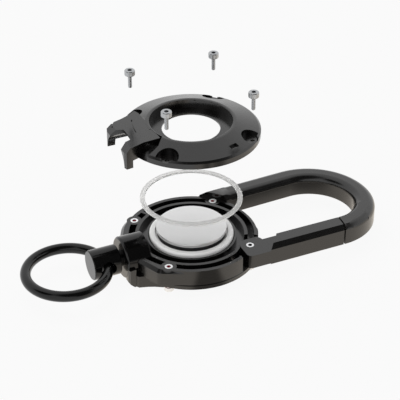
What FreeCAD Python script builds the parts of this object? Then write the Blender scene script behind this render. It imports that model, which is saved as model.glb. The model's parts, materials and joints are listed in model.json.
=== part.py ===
import FreeCAD, Part
import math
import os
from types import SimpleNamespace

import Sketcher
from FreeCAD import Placement, Rotation, Vector

# A belt holder for a round tracker tag: a ring-shaped frame that runs out into a snap hook, closed by two
# screwed covers that also clamp a swivel for a key ring. It is drawn as it is taken apart for a tag change,
# with the top cover, its seal and its screws lifted straight up along the tag's axis, and the tag a little.
# Heights are counted from the floor, plan places from the tag's axis. +X runs towards the hook's bend.

SIZES = {
    # Fits
    "overrun": 1.0,
    "face_gap": 0.15,
    "seat_gap": 0.1,
    "running_gap": 0.05,
    # Tag
    "tag_radius": 15.95,
    "tag_thickness": 8.0,
    "tag_wall": 0.9,
    "tag_widest_height": 4.2,
    "tag_dome_inset": 4.45,
    "tag_dome_rise": 0.75,
    "tag_rim_width": 2.25,
    "tag_rim_height": 5.1,
    "tag_rim_recess": 0.8,
    "lid_gap": 0.35,
    "lid_edge": 1.25,
    "lid_rise": 0.5,
    "lid_sheet": 0.4,
    "cell_thickness": 3.2,
    "cell_step": 0.8,
    "cell_step_height": 0.5,
    "carrier_rim": 2.75,
    "carrier_ledge": 0.9,
    "carrier_floor": 0.6,
    "board_thickness": 0.8,
    "board_inset": 1.45,
    "chip_length": 3.4,
    "chip_height": 0.4,
    "sounder_inset": 0.7,
    "sounder_height": 1.9,
    "sounder_pole": 2.2,
    "contact_width": 1.6,
    # Frame ring, from the tag outwards
    "base_height": 5.85,
    "frame_height": 6.2,
    "cup_gap": 0.3,
    "cup_wall": 0.85,
    "groove_width": 2.8,
    "rib_wall": 1.3,
    "pocket_width": 2.5,
    "outer_wall": 1.5,
    "cup_drop": 0.4,
    "groove_depth": 2.6,
    "pocket_depth": 4.2,
    "near_corner_round": 3.4,
    "far_corner_round": 14.0,
    "near_overhang": 0.4,
    "far_overhang": 1.4,
    "corner_chamfer": 1.2,
    "facet_side": 7.0,
    "screw_inset": 1.87,
    "boss_radius": 2.9,
    "web_thickness": 1.2,
    "web_angle": 119.0,
    "web_step": 100.0,
    # Hook
    "bar_height": 8.4,
    "bar_width": 8.4,
    "bar_chamfer": 1.7,
    "bar_edge": 0.3,
    "spine_tilt": 2.4,
    "spine_inset": 4.0,
    "gate_inset": 1.75,
    "hook_run": 50.2,
    "bend_drop": 1.8,
    "bend_width": 8.0,
    "seam_back": 21.9,
    "seam_gap": 0.6,
    "nose_spare": 8.0,
    # Gate
    "knuckle_radius": 3.8,
    "knuckle_drop": 0.6,
    "tab_corner": 2.0,
    "tab_shoulder": 6.0,
    "tab_overlap": 3.0,
    "arm_gap": 6.8,
    "slot_radius": 7.0,
    "slot_side": 6.1,
    "slot_inset": 0.7,
    "spring_wire": 0.5,
    "spring_radius": 2.55,
    "spring_pitch": 0.95,
    "spring_room": 3.3,
    "spring_leg": 3.1,
    "spring_tail": 2.0,
    # Sleeve nuts and screws
    "sleeve_radius": 1.5,
    "sleeve_head_radius": 1.8,
    "sleeve_head": 1.55,
    "sleeve_thread_depth": 6.0,
    "screw_radius": 0.7,
    "screw_length": 5.1,
    "screw_head_radius": 1.9,
    "screw_head": 2.0,
    "screw_socket_flats": 1.5,
    "screw_socket_depth": 1.0,
    # Top cover
    "cover_inset": 0.05,
    "cover_edge": 2.0,
    "cover_bevel": 0.65,
    "cover_bevel_in": 0.8,
    "crest_inset": 0.55,
    "crest_height": 5.7,
    "crest_round": 2.5,
    "crest_run": 1.1,
    "dish_inset": 0.9,
    "dish_draft": 0.15,
    "window_inset": 5.4,
    "lip_height": 1.55,
    "lip_thickness": 0.65,
    "roof_gap": 0.15,
    "land_gap": 0.2,
    "land_side_gap": 0.95,
    "core_side": 0.5,
    "core_depth": 0.9,
    "scallop_radius": 4.1,
    "scallop_floor": 1.6,
    "pry_length": 3.4,
    "pry_width": 1.7,
    "pry_depth": 0.6,
    "pry_inset": 3.6,
    "pry_angle": -70.0,
    "line_inset": 4.2,
    "line_width": 0.45,
    "line_depth": 0.35,
    "line_angle": 155.0,
    "line_sweep": 25.0,
    # Bottom cover
    "sole_edge": 2.0,
    "sole_seam": 0.5,
    "sole_bevel": 0.55,
    "sole_rim": 1.2,
    "sole_dish": 3.2,
    "sole_panel": 1.4,
    "sole_wall": 1.6,
    "sole_lift": 1.0,
    # Bridges over and under the swivel, one on each cover
    "bridge_overhang": 3.9,
    "bridge_wall": 1.4,
    "bridge_corner": 0.4,
    "bridge_chamfer": 2.05,
    "step_overhang": 1.2,
    "step_taper": 0.3,
    "neck_inset": 3.7,
    "neck_taper": 2.0,
    "root_inset": 0.4,
    "root_taper": 2.5,
    "relief_depth": 2.2,
    "leg_length": 2.9,
    "leg_gap": 0.5,
    "sole_leg_gap": 0.2,
    "notch_inset": 0.7,
    "notch_half": 3.6,
    "notch_mouth_half": 5.6,
    # Swivel
    "swivel_height": 8.85,
    "barrel_radius": 8.0,
    "barrel_overhang": 3.7,
    "barrel_length": 9.3,
    "barrel_chamfer": 0.6,
    "barrel_wall": 3.4,
    "barrel_bore": 5.6,
    "stem_radius": 2.95,
    "washer_radius": 5.2,
    "washer_thickness": 1.1,
    "rivet_radius": 4.0,
    "rivet_height": 1.2,
    "neck_gap": 1.4,
    "eye_radius": 5.67,
    "eye_length": 10.6,
    "eye_chamfer": 0.3,
    "eye_hole_in": 5.2,
    "eye_hole_radius": 3.0,
    # Key ring
    "ring_radius": 15.05,
    "ring_wire": 2.0,
    # Seal
    "seal_side_gap": 0.83,
    "seal_thickness": 0.8,
    # How far the loose pieces are lifted from their seats
    "tag_lift": 2.0,
    "cover_lift": 43.2,
    "seal_lift": 18.03,
    "screw_lift": 17.53,
}

# Shares of a size and turns that have no length.
HALF_SHARE = 0.5
CORNER_SHARES = (0.832, 0.704)
CORNER_TAIL_SHARES = (0.4127, 0.9087)
SHOULDER_SHARES = ((1.095, 0.3), (0.603, 0.24), (0.603, 0.492), (0.631, 0.583), (0.806, 0.48), (0.9, 0.44),
                   (1.02, 0.405))
RELIEF_SHARES = ((1.05, 0.0), (1.05, 0.478), (0.829, 0.47), (0.675, 0.4), (0.552, 0.258), (0.552, 0.0))
SPINE_ROOT_SHARE = 0.4
BOARD_HOLE_SHARE = 0.491
NEARLY_ONE_SHARE = 0.99
SPRING_TURNS = 3
ARCS_PER_TURN = 4
SOCKET_SIDES = 6


class Size:
    """A size as a number, together with the sheet formula that keeps it tied to the named sizes."""

    def __init__(self, value, formula):
        self.value = value
        self.formula = formula

    def __add__(self, other):
        other = as_size(other)
        return Size(self.value + other.value, f"({self.formula} + {other.formula})")

    __radd__ = __add__

    def __sub__(self, other):
        other = as_size(other)
        return Size(self.value - other.value, f"({self.formula} - {other.formula})")

    def __rsub__(self, other):
        return as_size(other) - self

    def __mul__(self, other):
        other = as_size(other)
        return Size(self.value * other.value, f"({self.formula} * {other.formula})")

    __rmul__ = __mul__

    def __truediv__(self, other):
        other = as_size(other)
        return Size(self.value / other.value, f"({self.formula} / {other.formula})")

    def __neg__(self):
        return Size(-self.value, f"(-{self.formula})")


def as_size(number):
    return number if isinstance(number, Size) else Size(number, repr(number))


def side_of(long_side, short_side):
    """The third side of a right-angled triangle, from its longest side and one other."""
    left = long_side * long_side - short_side * short_side
    return Size(math.sqrt(left.value), f"sqrt({left.formula})")


def arch_radius(half_width, rise):
    """The radius of an arc that leaves square to its rise and has climbed by it at half_width."""
    return (half_width * half_width + rise * rise) / (2 * rise)


def cosine(angle):
    return Size(math.cos(math.radians(angle.value)), f"cos({angle.formula})")


def sine(angle):
    return Size(math.sin(math.radians(angle.value)), f"sin({angle.formula})")


os.makedirs("parts", exist_ok=True)
doc = FreeCAD.newDocument("TagHolder")
sheet = doc.addObject("Spreadsheet::Sheet", "Sizes")
for row, (name, number) in enumerate(SIZES.items(), start=1):
    sheet.set(f"A{row}", name)
    sheet.set(f"B{row}", str(number))
    sheet.setAlias(f"B{row}", name)
doc.recompute()
size = SimpleNamespace(**{name: Size(number, f"Sizes.{name}") for name, number in SIZES.items()})


def bind(item, **sizes):
    """Ties properties of a document object to sizes."""
    for name, amount in sizes.items():
        amount = as_size(amount)
        setattr(item, name, amount.value)
        item.setExpression(name, amount.formula)
    return item


def move(item, x=0, y=0, z=0, turn=None):
    """Places an object, with its place tied to sizes; turn is a fixed rotation."""
    x, y, z = as_size(x), as_size(y), as_size(z)
    item.Placement = Placement(Vector(x.value, y.value, z.value), turn or Rotation())
    for axis, amount in (("x", x), ("y", y), ("z", z)):
        if "Sizes" in amount.formula:
            item.setExpression(f"Placement.Base.{axis}", amount.formula)
    return item


ALONG_X = Rotation(Vector(0, 1, 0), 90)
ALONG_Y = Rotation(Vector(1, 0, 0), -90)


def cylinder(name, radius, height, x=0, y=0, z=0, turn=None):
    item = doc.addObject("Part::Cylinder", name)
    return move(bind(item, Radius=radius, Height=height), x, y, z, turn)


def block(name, x0, x1, y0, y1, z0, z1):
    """A box between two corners."""
    item = doc.addObject("Part::Box", name)
    bind(item, Length=as_size(x1) - x0, Width=as_size(y1) - y0, Height=as_size(z1) - z0)
    return move(item, x0, y0, z0)


def fuse(name, shapes):
    item = doc.addObject("Part::MultiFuse", name)
    item.Shapes = shapes
    return item


def cut(name, base, *tools):
    item = doc.addObject("Part::Cut", name)
    item.Base = base
    item.Tool = tools[0] if len(tools) == 1 else fuse(f"{name}_tools", list(tools))
    return item


def common(name, *shapes):
    item = doc.addObject("Part::MultiCommon", name)
    item.Shapes = list(shapes)
    return item


def group(name, shapes):
    """Separate solids that share one node."""
    item = doc.addObject("Part::Compound", name)
    item.Links = shapes
    return item


def arc_between(start, end, radius, turn):
    """The smaller arc from start to end; turn is 1 for anticlockwise and -1 for clockwise."""
    chord = end - start
    side = math.sqrt(max(radius ** 2 - (chord.Length * HALF_SHARE) ** 2, 0.0))
    left = Vector(-chord.y, chord.x, 0).normalize()
    centre = (start + end) * HALF_SHARE + left * side * turn
    first, last = (start, end) if turn > 0 else (end, start)
    angles = [math.atan2(p.y - centre.y, p.x - centre.x) for p in (first, last)]
    return Part.ArcOfCircle(Part.Circle(centre, Vector(0, 0, 1), radius), *angles)


def outline(body, name, plane, points, lift=0):
    """A closed sketch through points. A point is (across, up), or (across, up, radius, turn) after an arc."""
    sketch = body.newObject("Sketcher::SketchObject", name)
    planes = {item.Role: item for item in body.Origin.OriginFeatures if hasattr(item, "Role")}
    sketch.AttachmentSupport = [(planes[plane], "")]
    sketch.MapMode = "FlatFace"
    lift = as_size(lift)
    sketch.AttachmentOffset = Placement(Vector(0, 0, lift.value), Rotation())
    if "Sizes" in lift.formula:
        sketch.setExpression("AttachmentOffset.Base.z", lift.formula)
    places = [(as_size(p[0]), as_size(p[1])) for p in points]
    spots = [Vector(across.value, up.value, 0) for across, up in places]
    ends = []
    for here, point in enumerate(points):
        start, end = spots[here - 1], spots[here]
        if len(point) == 2:
            ends.append((sketch.addGeometry(Part.LineSegment(start, end)), 1, 2))
            continue
        radius, turn = as_size(point[2]), point[3]
        curve = sketch.addGeometry(arc_between(start, end, radius.value, turn))
        ends.append((curve, 1, 2) if turn > 0 else (curve, 2, 1))
        rule = sketch.addConstraint(Sketcher.Constraint("Radius", curve, radius.value))
        sketch.setExpression(f"Constraints[{rule}]", radius.formula)
    for here, (curve, first, last) in enumerate(ends):
        following = ends[(here + 1) % len(ends)]
        sketch.addConstraint(Sketcher.Constraint("Coincident", curve, last, following[0], following[1]))
        for axis, kind, amount in ((-2, "DistanceX", places[here][0]), (-1, "DistanceY", places[here][1])):
            if amount.formula == "0":
                sketch.addConstraint(Sketcher.Constraint("PointOnObject", curve, last, axis))
                continue
            rule = sketch.addConstraint(Sketcher.Constraint(kind, -1, 1, curve, last, amount.value))
            sketch.setExpression(f"Constraints[{rule}]", amount.formula)
    return sketch


def new_body(name):
    return doc.addObject("PartDesign::Body", name)


def turned(name, points):
    """A solid of revolution about Z from a profile of (radius, height) points."""
    body = new_body(name)
    spin = body.newObject("PartDesign::Revolution", f"{name}_spin")
    profile = outline(body, f"{name}_profile", "XZ_Plane", points)
    spin.Profile = profile
    spin.ReferenceAxis = (profile, ["V_Axis"])
    spin.Angle = 360
    return body


def padded(name, points, bottom, height):
    """A prism on a plan outline."""
    body = new_body(name)
    pad = body.newObject("PartDesign::Pad", f"{name}_pad")
    pad.Profile = outline(body, f"{name}_plan", "XY_Plane", points, bottom)
    bind(pad, Length=height)
    return body


def chamfer_flat(body, word, up, amount):
    """Chamfers all round the faces of a body that look straight up, or down where up is -1."""
    doc.recompute()
    base = body.Tip
    flat = [f"Face{i}" for i, face in enumerate(base.Shape.Faces, start=1)
            if isinstance(face.Surface, Part.Plane) and face.normalAt(0, 0).z * up > NEARLY_ONE_SHARE]
    edge = body.newObject("PartDesign::Chamfer", f"{body.Name}_{word}")
    edge.Base = (base, flat)
    bind(edge, Size=amount)
    return body


def chamfer_bar(body):
    """Chamfers a bar's top edges broadly and breaks its bottom edges."""
    chamfer_flat(body, "top", 1, size.bar_chamfer)
    return chamfer_flat(body, "bottom", -1, size.bar_edge)


def mirrored(points):
    """An outline that is symmetric about X, from its half on the -Y side, listed from end to end."""
    return points + [(x, -y) for x, y in reversed(points)]


# Places that several pieces share. Radii run from the tag outwards.
cup_radius = size.tag_radius + size.cup_gap
cup_outside = cup_radius + size.cup_wall
rib_in = cup_outside + size.groove_width
rib_radius = rib_in + size.rib_wall
wall_in = rib_radius + size.pocket_width
frame_radius = wall_in + size.outer_wall
frame_top = size.base_height + size.frame_height
groove_floor = frame_top - size.groove_depth
spot = (frame_radius - size.screw_inset) * Size(math.sqrt(HALF_SHARE), "sqrt(1 / 2)")
corners = [(-spot, spot), (spot, spot), (-spot, -spot)]
pivot = (spot, -spot)
cover_radius = frame_radius - size.cover_inset
bevel_radius = cover_radius - size.cover_bevel_in
crest_radius = size.tag_radius - size.crest_inset
dish_radius = size.tag_radius - size.dish_inset
window_radius = size.tag_radius - size.window_inset
closed_cover = frame_top + size.face_gap
lifted_cover = closed_cover + size.cover_lift
seal_seat = groove_floor + size.seat_gap
spine_reach = frame_radius - size.spine_inset
gate_reach = frame_radius - size.gate_inset
gate_inside = gate_reach - size.bar_width
bend_reach = frame_radius + size.hook_run
seam_radius = bend_reach - size.seam_back - spot
nose_cut_x = bend_reach - size.seam_back - size.nose_spare
bore_radius = size.barrel_radius + size.seat_gap
barrel_start = frame_radius + size.barrel_overhang
barrel_end = barrel_start - size.barrel_length
bridge_end = frame_radius + size.bridge_overhang
bridge_half = bore_radius + size.bridge_wall
eye_end = barrel_start + size.neck_gap
eye_hole_x = eye_end + size.eye_hole_in
sleeve_hole = size.sleeve_radius + size.running_gap
screw_hole = size.screw_radius + size.running_gap
sleeve_seat = size.base_height - size.sole_edge - size.sole_bevel
sole_top = size.base_height + size.running_gap
tag_base = sole_top + size.running_gap + size.tag_lift


def around_nuts(name, radius, z, height, places):
    """The same cylinder at each screw place."""
    return [cylinder(f"{name}_{i}", radius, height, x, y, z) for i, (x, y) in enumerate(places, start=1)]


def bore_along_x(name, radius, start, end, z):
    """A cylinder on the swivel's axis, from -start to -end."""
    return cylinder(name, radius, start - end, -start, 0, z, ALONG_X)


# Frame: ring with cup, seal groove, rib and lightening pockets, its squared corners, bosses and hook.
def make_frame():
    pocket_floor = frame_top - size.pocket_depth
    cup_top = frame_top - size.cup_drop
    below = size.base_height - size.overrun
    through = size.frame_height + 2 * size.overrun
    ring = turned("ring", [
        (cup_radius, size.base_height), (frame_radius, size.base_height), (frame_radius, frame_top),
        (wall_in, frame_top), (wall_in, pocket_floor), (rib_radius, pocket_floor), (rib_radius, frame_top),
        (rib_in, frame_top), (rib_in, groove_floor), (cup_outside, groove_floor), (cup_outside, cup_top),
        (cup_radius, cup_top)])
    pads = fuse("corner_pads", [
        corner_pad("far", 1, size.far_overhang, size.far_corner_round),
        corner_pad("near", -1, size.near_overhang, size.near_corner_round)])
    corner_walls = cut("corner_walls", pads, cylinder("pocket_core", wall_in, through, 0, 0, pocket_floor))
    bosses = around_nuts("boss", size.boss_radius, size.base_height, size.frame_height, corners)
    webs = [web(i, angle) for i, angle in enumerate((size.web_angle, size.web_angle - size.web_step))]
    stiffeners = cut("stiffeners", fuse("bosses_and_webs", bosses + webs),
                     cylinder("groove_core", rib_in + size.running_gap, through, 0, 0, below))
    whole = fuse("frame_whole", [ring, corner_walls, stiffeners, make_hook()])
    slot_plan = fuse("gate_slot_plan", [
        cylinder("gate_slot_round", size.slot_radius, through, *pivot, below),
        block("gate_slot_front", spot - size.slot_side, frame_radius + size.overrun,
              -frame_radius - size.overrun, -spot, below, below + through)])
    slot = cut("gate_slot", slot_plan,
               cylinder("gate_slot_core", rib_in - size.slot_inset, through + size.overrun, 0, 0,
                        below - size.overrun))
    swivel_gap = bore_along_x("swivel_gap", bore_radius + size.face_gap, bridge_end,
                              barrel_end - size.face_gap, size.swivel_height)
    holes = around_nuts("frame_hole", sleeve_hole, below, through, corners)
    return cut("frame", whole, slot, swivel_gap, *holes)


def corner_pad(word, side, overhang, radius):
    """One squared corner beside the swivel, from a point on the ring to the edge of the swivel's gap."""
    corner_x, corner_y = (frame_radius * share for share in CORNER_SHARES)
    tail_x, tail_y = (frame_radius * share for share in CORNER_TAIL_SHARES)
    points = [(-tail_x, tail_y * side), (-corner_x, corner_y * side),
              (-frame_radius - overhang, size.facet_side * side),
              (-rib_radius, size.facet_side * side)]
    pad = padded(f"corner_{word}", points if side < 0 else points[::-1], size.base_height, size.frame_height)
    rounded_corner(pad, Vector(-corner_x.value, corner_y.value * side, 0), radius)
    return chamfer_flat(pad, "top", 1, size.corner_chamfer)


def rounded_corner(body, mark, radius):
    """Rounds the vertical edge of a pad that stands at mark."""
    doc.recompute()
    base = body.Tip

    def off_mark(edge):
        middle = edge.CenterOfMass
        return Vector(middle.x, middle.y, 0).distanceToPoint(mark)

    nearest = min(range(len(base.Shape.Edges)), key=lambda i: off_mark(base.Shape.Edges[i]))
    fillet = body.newObject("PartDesign::Fillet", f"{body.Name}_round")
    fillet.Base = (base, [f"Edge{nearest + 1}"])
    bind(fillet, Radius=radius)


def web(number, angle):
    """A thin wall across the lightening pocket, at an angle about the tag's axis."""
    item = doc.addObject("Part::Box", f"web_{number}")
    bind(item, Length=size.pocket_width + size.outer_wall, Width=size.web_thickness,
         Height=size.frame_height)
    start = rib_radius - size.running_gap
    half = size.web_thickness * HALF_SHARE
    x = start * cosine(angle) + half * sine(angle)
    y = start * sine(angle) - half * cosine(angle)
    return move(item, x, y, size.base_height, Rotation(Vector(0, 0, 1), angle.value))


# Hook: spine, round bend and nose in one chamfered bar, which runs out of the ring's wall.
def make_hook():
    """Each side of the bend is two arcs that meet at its end, because the spine and the nose differ."""
    lean, straight = sine(size.spine_tilt), cosine(size.spine_tilt)
    spine_inside = spine_reach - size.bar_width
    inner_reach = bend_reach - size.bend_width
    outer_far = (spine_reach + lean * bend_reach + straight * size.bend_drop) / (lean + 1)
    inner_far = (spine_inside + lean * inner_reach + straight * size.bend_drop) / (lean + 1)
    outer_near = gate_reach - size.bend_drop
    inner_near = gate_inside - size.bend_drop
    bend_y = -size.bend_drop
    root = frame_radius * SPINE_ROOT_SHARE
    bar = chamfer_bar(padded("hook_bar", [
        (root, (spine_reach + lean * root) / straight),
        (root, (spine_inside + lean * root) / straight),
        (inner_reach - inner_far - lean * inner_far, bend_y + straight * inner_far),
        (inner_reach, bend_y, inner_far, -1),
        (inner_reach - inner_near, -gate_inside, inner_near, -1),
        (nose_cut_x, -gate_inside),
        (nose_cut_x, -gate_reach),
        (bend_reach - outer_near, -gate_reach),
        (bend_reach, bend_y, outer_near, 1),
        (bend_reach - outer_far - lean * outer_far, bend_y + straight * outer_far, outer_far, 1)],
        size.base_height, size.bar_height))
    tall = size.bar_height + 2 * size.overrun
    below = size.base_height - size.overrun
    seam = common("nose_seam", cylinder("nose_sweep", seam_radius + size.seam_gap, tall, *pivot, below),
                  block("nose_side", nose_cut_x - size.overrun, bend_reach, -gate_reach - size.overrun,
                        -gate_inside + size.bar_chamfer, below, below + tall))
    ring_room = cylinder("ring_room", frame_radius - size.outer_wall * HALF_SHARE, tall, 0, 0, below)
    cover_room = cylinder("cover_room", cover_radius + 2 * size.face_gap, tall, 0, 0, frame_top)
    return cut("hook", bar, seam, ring_room, cover_room)


# Gate: a chamfered arm with a thinner knuckle that turns on its pivot sleeve under the top cover.
def make_gate():
    x, y = pivot
    arm_start = frame_radius + size.arm_gap
    tab_end = arm_start + size.tab_overlap
    tab_low = size.base_height + size.knuckle_drop
    tab = padded("gate_tab", [
        (x - size.knuckle_radius, -gate_reach + size.tab_corner),
        (x - size.knuckle_radius + size.tab_corner, -gate_reach, size.tab_corner, 1),
        (tab_end, -gate_reach), (tab_end, -gate_inside),
        (x + side_of(size.tab_shoulder, spot - gate_inside), -gate_inside),
        (x + side_of(size.tab_shoulder, size.knuckle_radius), y + size.knuckle_radius, size.tab_shoulder, 1),
        (x, y + size.knuckle_radius),
        (x - size.knuckle_radius, y, size.knuckle_radius, 1)],
        tab_low, size.frame_height - size.knuckle_drop)
    arm = chamfer_bar(padded("gate_arm", [
        (spot, -gate_reach), (bend_reach, -gate_reach), (bend_reach, -gate_inside), (spot, -gate_inside)],
        size.base_height, size.bar_height))
    tall = size.bar_height + 2 * size.overrun
    below = size.base_height - size.overrun
    arm_short = cut("gate_arm_short", arm, cylinder("gate_arm_room", arm_start, tall, 0, 0, below))
    arm_end = common("gate_arm_end", arm_short, cylinder("gate_sweep", seam_radius, tall, *pivot, below))
    spring_room = cylinder("gate_spring_room", size.spring_radius + size.spring_wire, size.spring_room, x, y,
                           tab_low)
    leg_y = y + size.spring_radius
    leg_room = block("gate_leg_room", x, x + size.spring_tail + size.spring_wire, leg_y - size.spring_wire,
                     leg_y + size.spring_wire, tab_low, tab_low + size.spring_room)
    return cut("gate", fuse("gate_whole", [tab, arm_end]),
               cylinder("gate_bore", sleeve_hole, tall, *pivot, below), spring_room, leg_room)


# Gate spring: a torsion coil round the pivot sleeve, with one leg against the frame and one in the gate.
def make_spring():
    """Arcs of a quarter turn follow the coil. The low leg leaves along -X, the high leg along +X."""
    wire, mean = size.spring_wire.value, size.spring_radius.value
    x, y = (place.value for place in pivot)
    start = (size.base_height + size.running_gap + size.spring_wire * HALF_SHARE).value
    rise = size.spring_pitch.value

    def on_coil(turns):
        angle = 2 * math.pi * turns
        return Vector(x + mean * math.sin(angle), y + mean * math.cos(angle), start + rise * turns)

    steps = [i / ARCS_PER_TURN for i in range(SPRING_TURNS * ARCS_PER_TURN)]
    step = 1 / ARCS_PER_TURN
    edges = [Part.Arc(on_coil(t), on_coil(t + step * HALF_SHARE), on_coil(t + step)).toShape() for t in steps]
    low, high = on_coil(0), on_coil(SPRING_TURNS)
    low_tip = low - Vector(size.spring_leg.value, 0, 0)
    high_tip = high + Vector(size.spring_tail.value, 0, 0)
    edges.insert(0, Part.LineSegment(low_tip, low).toShape())
    edges.append(Part.LineSegment(high, high_tip).toShape())
    round_wire = Part.Wire(Part.Circle(low_tip, Vector(1, 0, 0), wire * HALF_SHARE).toShape())
    solid = Part.Wire(edges).makePipeShell([round_wire], True, False)
    gap = min(on_coil(t).distanceToPoint(on_coil(t + 1)) for t in steps[:-ARCS_PER_TURN]) - wire
    print(f"gate spring: least gap between curls {gap:.2f} mm")
    item = doc.addObject("Part::Feature", "gate_spring")
    item.Shape = solid
    return item


# Sleeve nuts: turned tubes with a low head below the bottom cover, tapped from above.
def make_sleeve(name, x, y):
    head_low = sleeve_seat - size.sleeve_head
    thread_end = frame_top - size.sleeve_thread_depth
    body = turned(name, [
        (0, head_low), (size.sleeve_head_radius, head_low), (size.sleeve_head_radius, sleeve_seat),
        (size.sleeve_radius, sleeve_seat), (size.sleeve_radius, frame_top), (screw_hole, frame_top),
        (screw_hole, thread_end), (0, thread_end)])
    return move(body, x, y)


# Screws: socket-head cap screws, drawn where they hang above the lifted cover.
def make_screw(name, x, y):
    head_low = lifted_cover + size.scallop_floor + size.seat_gap + size.screw_lift
    head_top = head_low + size.screw_head
    tip = head_low - size.screw_length
    shank = turned(f"{name}_turned", [
        (0, tip), (size.screw_radius, tip), (size.screw_radius, head_low), (size.screw_head_radius, head_low),
        (size.screw_head_radius, head_top), (0, head_top)])
    socket = doc.addObject("Part::Prism", f"{name}_socket")
    socket.Polygon = SOCKET_SIDES
    bind(socket, Circumradius=size.screw_socket_flats / Size(math.sqrt(3), "sqrt(3)"),
         Height=size.screw_socket_depth + size.overrun)
    move(socket, 0, 0, head_top - size.screw_socket_depth)
    return move(cut(name, shank, socket), x, y)


# Bridge: the roof over the swivel's barrel, with two legs at its end and a notch between them.
def bridge_plan(name, bottom, height):
    """The bridge's outline: narrow where it leaves the crater, wide at its end, with clipped corners."""
    return padded(name, mirrored([
        (-crest_radius + size.root_inset, -bridge_half + size.root_taper),
        (-frame_radius + size.neck_inset, -bridge_half + size.neck_taper),
        (-frame_radius - size.step_overhang, -bridge_half + size.step_taper),
        (-bridge_end + size.bridge_corner, -bridge_half), (-bridge_end, -bore_radius)]), bottom, height)


def make_bridge(name, roof_low, roof_high, leg_low, leg_high, chamfered, up):
    """Roof and legs of one bridge. The wedge takes the sharp edge off its end, at the chamfered height."""
    roof = bridge_plan(f"{name}_roof", roof_low, roof_high - roof_low)
    inside = bridge_end - size.leg_length
    legs = common(f"{name}_legs", bridge_plan(f"{name}_leg_plan", leg_low, leg_high - leg_low),
                  block(f"{name}_leg_room", -bridge_end - size.overrun, -inside, -bridge_half - size.overrun,
                        bridge_half + size.overrun, leg_low, leg_high))
    wedge = new_body(f"{name}_wedge")
    past = size.bridge_chamfer + size.overrun
    pad = wedge.newObject("PartDesign::Pad", f"{name}_wedge_pad")
    pad.Profile = outline(wedge, f"{name}_wedge_side", "XZ_Plane", [
        (-bridge_end + past, chamfered + size.overrun * up),
        (-bridge_end - size.overrun, chamfered + size.overrun * up),
        (-bridge_end - size.overrun, chamfered - past * up)])
    bind(pad, Length=2 * (bridge_half + size.overrun))
    pad.Midplane = True
    return cut(f"{name}_bridge", fuse(f"{name}_bridge_whole", [roof, legs]), wedge)


def notch(name, bottom, height):
    """The gap between a bridge's legs, wider at its mouth."""
    return padded(name, mirrored([
        (-frame_radius + size.notch_inset, -size.notch_half),
        (-bridge_end - size.overrun, -size.notch_mouth_half)]), bottom, height)


def barrel_room(name, axis):
    return bore_along_x(name, bore_radius, bridge_end + size.overrun, barrel_end - size.face_gap, axis)


# Top cover: a crater-shaped lid with a round window, drawn lifted.
def make_top_cover():
    low = lifted_cover
    crest = low + size.crest_height
    lip = low + size.lip_height
    lip_top = lip + size.lip_thickness
    edge_top = low + size.cover_edge + size.cover_bevel
    land = low + seal_seat + size.seal_thickness + size.seat_gap - closed_cover
    land_in = cup_outside + size.land_gap
    land_out = rib_in - size.land_side_gap
    core_in = rib_in - size.core_side
    core_out = rib_radius + size.core_side
    roof_radius = cup_radius + size.roof_gap
    slope = (crest - edge_top) / (bevel_radius - crest_radius)
    shoulder = crest - slope * size.crest_run
    dish_foot = dish_radius - size.dish_draft
    lid = turned("lid", [
        (window_radius, lip), (roof_radius, lip), (roof_radius, low), (land_in, low), (land_in, land),
        (land_out, land), (land_out, low), (core_in, low), (core_in, low + size.core_depth),
        (core_out, low + size.core_depth), (core_out, low), (cover_radius, low),
        (cover_radius, low + size.cover_edge), (bevel_radius, edge_top),
        (crest_radius + size.crest_run, shoulder), (dish_radius, shoulder, size.crest_round, 1),
        (dish_foot, lip_top), (window_radius, lip_top)])
    axis = low + size.swivel_height - closed_cover
    bridge = make_bridge("cover", low, shoulder, axis + size.leg_gap, shoulder, shoulder, 1)
    dish = turned("cover_dish", [
        (0, lip - size.overrun), (window_radius, lip - size.overrun), (window_radius, lip_top),
        (dish_foot, lip_top), (dish_radius, shoulder), (dish_radius, crest + size.overrun),
        (0, crest + size.overrun)])
    below = low - size.overrun
    tag_room = cylinder("cover_tag_room", roof_radius, size.lip_height + size.overrun, 0, 0, below)
    nuts = [*corners, pivot]
    seat = low + size.scallop_floor
    scallops = common("scallops", fuse("scallop_rounds", around_nuts("scallop", size.scallop_radius, seat,
                                                                     size.crest_height, nuts)),
                      cylinder("scallop_limit", bevel_radius, size.crest_height, 0, 0, seat))
    head_rooms = around_nuts("head_room", size.screw_head_radius + size.face_gap, seat, size.crest_height,
                             nuts)
    holes = around_nuts("cover_hole", screw_hole + size.running_gap, below, size.crest_height, nuts)
    mouth = notch("cover_notch", axis, size.crest_height + size.swivel_height)
    cone = cut("lid_relieved", lid, relief(edge_top, slope), scallops, pry_slot(edge_top, slope))
    flank = bridge_shoulder("cover_shoulder", 1, low, shoulder)
    whole = fuse("cover_whole", [cone, bridge, flank])
    return cut("top_cover", whole, dish, tag_room, *head_rooms, *holes,
               barrel_room("cover_barrel_room", axis), mouth, scribed_line(shoulder))


def bridge_shoulder(name, side, low, high):
    """A bridge's flank on one side, which widens the bridge towards the crater."""
    points = [(-frame_radius * x_share, frame_radius * y_share * side)
              for x_share, y_share in SHOULDER_SHARES]
    return padded(name, points[::-side], low, high - low)


def pry_slot(edge_top, slope):
    """An oblong hollow in the cone, where a blade lifts the cover."""
    item = doc.addObject("Part::Box", "pry_slot")
    radius = cover_radius - size.pry_inset
    bind(item, Length=size.pry_width, Width=size.pry_length, Height=size.crest_height)
    low = edge_top + slope * (bevel_radius - radius) - size.pry_depth
    start = radius - size.pry_width * HALF_SHARE
    half = size.pry_length * HALF_SHARE
    x = start * cosine(size.pry_angle) + half * sine(size.pry_angle)
    y = start * sine(size.pry_angle) - half * cosine(size.pry_angle)
    return move(item, x, y, low, Rotation(Vector(0, 0, 1), size.pry_angle.value))


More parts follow.
